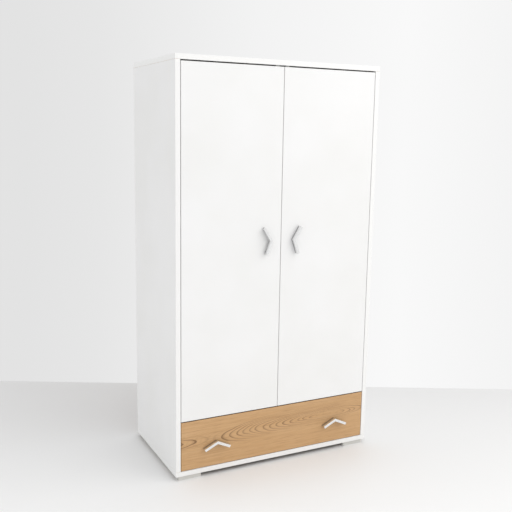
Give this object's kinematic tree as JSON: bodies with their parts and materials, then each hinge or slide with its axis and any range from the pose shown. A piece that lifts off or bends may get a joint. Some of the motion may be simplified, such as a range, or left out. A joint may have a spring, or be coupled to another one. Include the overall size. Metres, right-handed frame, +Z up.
{
  "type": "wardrobe",
  "caption": "White two-door wardrobe with inset doors over a full-width oak-finish drawer, V-shaped bar handles and two low runners underneath.",
  "frame": {"origin": "on the floor, below the middle of the overall width and depth, handles included", "axes": "+Z up, +X to the right seen from the front, -Y out of the doors"},
  "size_m": [1, 0.574, 1.83],
  "materials": {
    "white_board": "white melamine-faced particleboard, satin",
    "white_front": "white melamine-faced particleboard, satin, edge banded",
    "drawer_white": "white foil-wrapped board",
    "hardboard": "thin fibreboard, painted white on the inside",
    "oak": "oak finish with cathedral grain running across, satin",
    "handle_steel": "satin brushed",
    "zinc_steel": "bright zinc plated",
    "nickel": "nickel plated pressings",
    "chrome_tube": "polished chrome",
    "screw_steel": "zinc plated",
    "die_cast_zinc": "die-cast zinc, dull grey",
    "beech": "raw turned beech",
    "white_plastic": "moulded, matt",
    "soft_bumper": "translucent soft dots"
  },
  "bodies": {
    "carcass": {"left_side_panel": "white_board", "right_side_panel": "white_board", "top_panel": "white_board", "bottom_panel": "white_board", "divider_shelf": "white_board", "back_panel": "hardboard", "hat_shelf": "white_board", "shelf_pins": "screw_steel", "hanging_rail": "chrome_tube", "left_rail_socket": "white_plastic", "right_rail_socket": "white_plastic", "rail_socket_screws": "screw_steel", "left_runner": "white_board", "right_runner": "white_board", "runner_screws": "screw_steel", "cam_locks": "die_cast_zinc", "cam_bolts": "screw_steel", "wooden_dowels": "beech", "hinge_arms": "nickel", "hinge_mounting_plates": "zinc_steel", "mounting_plate_screws": "screw_steel", "hinge_arm_screws": "screw_steel", "door_stops": "white_plastic", "door_bumpers": "soft_bumper", "wall_brackets": "zinc_steel", "wall_bracket_screws": "screw_steel", "left_slide_cabinet_member": "zinc_steel", "right_slide_cabinet_member": "zinc_steel", "slide_cabinet_screws": "screw_steel"},
    "left_door": {"left_door_panel": "white_front", "left_door_handle": "handle_steel", "left_door_handle_screws": "screw_steel", "left_hinge_cups": "nickel", "left_hinge_pins": "nickel", "left_hinge_cup_screws": "screw_steel"},
    "right_door": {"right_door_panel": "white_front", "right_door_handle": "handle_steel", "right_door_handle_screws": "screw_steel", "right_hinge_cups": "nickel", "right_hinge_pins": "nickel", "right_hinge_cup_screws": "screw_steel"},
    "drawer": {"drawer_front": "oak", "drawer_inner_front": "drawer_white", "drawer_back": "drawer_white", "drawer_left_side": "drawer_white", "drawer_right_side": "drawer_white", "drawer_bottom": "hardboard", "drawer_box_dowels": "beech", "drawer_front_screws": "screw_steel", "drawer_left_handle": "handle_steel", "drawer_right_handle": "handle_steel", "drawer_handle_screws": "screw_steel", "left_slide_drawer_member": "zinc_steel", "right_slide_drawer_member": "zinc_steel", "slide_drawer_screws": "screw_steel"},
    "slide_middles": {"left_slide_middle_member": "zinc_steel", "right_slide_middle_member": "zinc_steel"}
  },
  "joints": [
    {"name": "left_door_hinge", "type": "hinge", "parent": "carcass", "child": "left_door", "pos_m": [-0.458, -0.256, 1.0365], "axis": [0, 0, -1], "range_deg": [0, 110]},
    {"name": "right_door_hinge", "type": "hinge", "parent": "carcass", "child": "right_door", "pos_m": [0.458, -0.256, 1.0365], "axis": [0, 0, 1], "range_deg": [0, 110]},
    {"name": "drawer_slide", "type": "slide", "parent": "carcass", "child": "drawer", "axis": [0, -1, 0], "range_m": [0, 0.4]},
    {"name": "slide_middles_travel", "type": "slide", "parent": "carcass", "child": "slide_middles", "axis": [0, -1, 0], "range_m": [0, 0.2]}
  ],
  "couplings": [
    {"joint": "slide_middles_travel", "follows": "drawer_slide", "ratio": 0.5}
  ]
}
